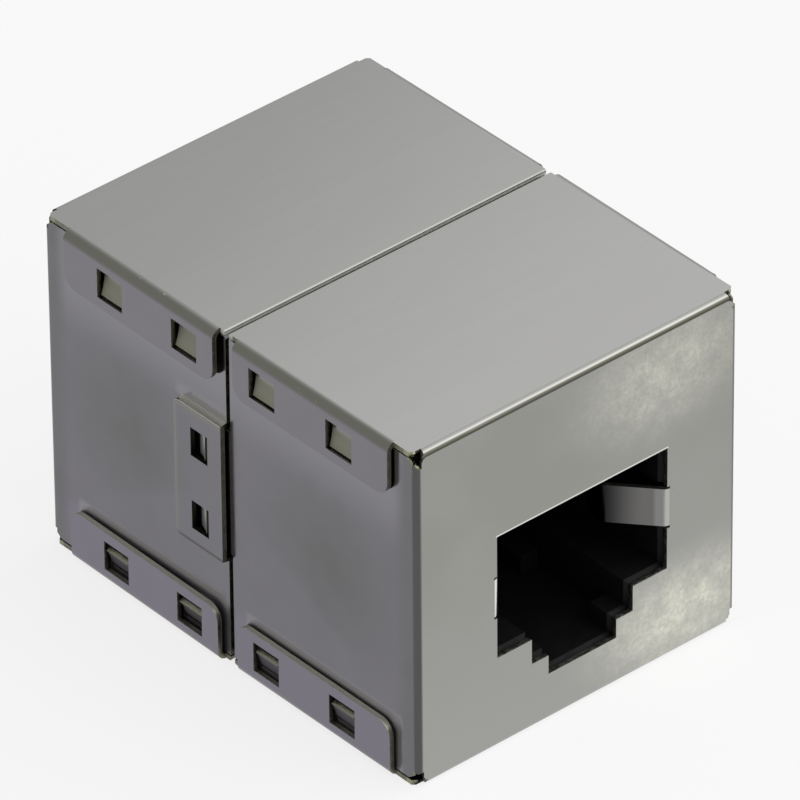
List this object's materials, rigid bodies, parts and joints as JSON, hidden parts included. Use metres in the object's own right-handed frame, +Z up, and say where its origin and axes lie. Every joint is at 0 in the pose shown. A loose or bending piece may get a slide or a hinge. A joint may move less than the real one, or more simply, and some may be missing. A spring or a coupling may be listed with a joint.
{
  "type": "rj45 inline coupler",
  "caption": "Shielded inline coupler that joins two network patch cords end to end: a folded metal box with a modular jack at either end.",
  "frame": {"origin": "middle of the underside, halfway between the two faces", "axes": "+Z up, away from the bottom plates; -Y out of the front socket and +Y out of the rear one; X across"},
  "size_m": [0.0236, 0.03, 0.0215],
  "materials": {
    "shield_plating": "dull nickel plating on folded sheet, scuffed, with bare olive-grey cut edges",
    "jack_plastic": "moulded black",
    "carrier_plastic": "moulded black",
    "board_laminate": "green solder mask",
    "contact_gold": "bright gold plating"
  },
  "bodies": {
    "root": {"front_shell": "shield_plating", "rear_shell": "shield_plating", "front_housing": "jack_plastic", "rear_housing": "jack_plastic", "front_contact_carrier": "carrier_plastic", "rear_contact_carrier": "carrier_plastic", "circuit_board": "board_laminate", "front_contact_1": "contact_gold", "rear_contact_1": "contact_gold", "front_contact_2": "contact_gold", "rear_contact_2": "contact_gold", "front_contact_3": "contact_gold", "rear_contact_3": "contact_gold", "front_contact_4": "contact_gold", "rear_contact_4": "contact_gold", "front_contact_5": "contact_gold", "rear_contact_5": "contact_gold", "front_contact_6": "contact_gold", "rear_contact_6": "contact_gold", "front_contact_7": "contact_gold", "rear_contact_7": "contact_gold", "front_contact_8": "contact_gold", "rear_contact_8": "contact_gold"}
  },
  "joints": []
}
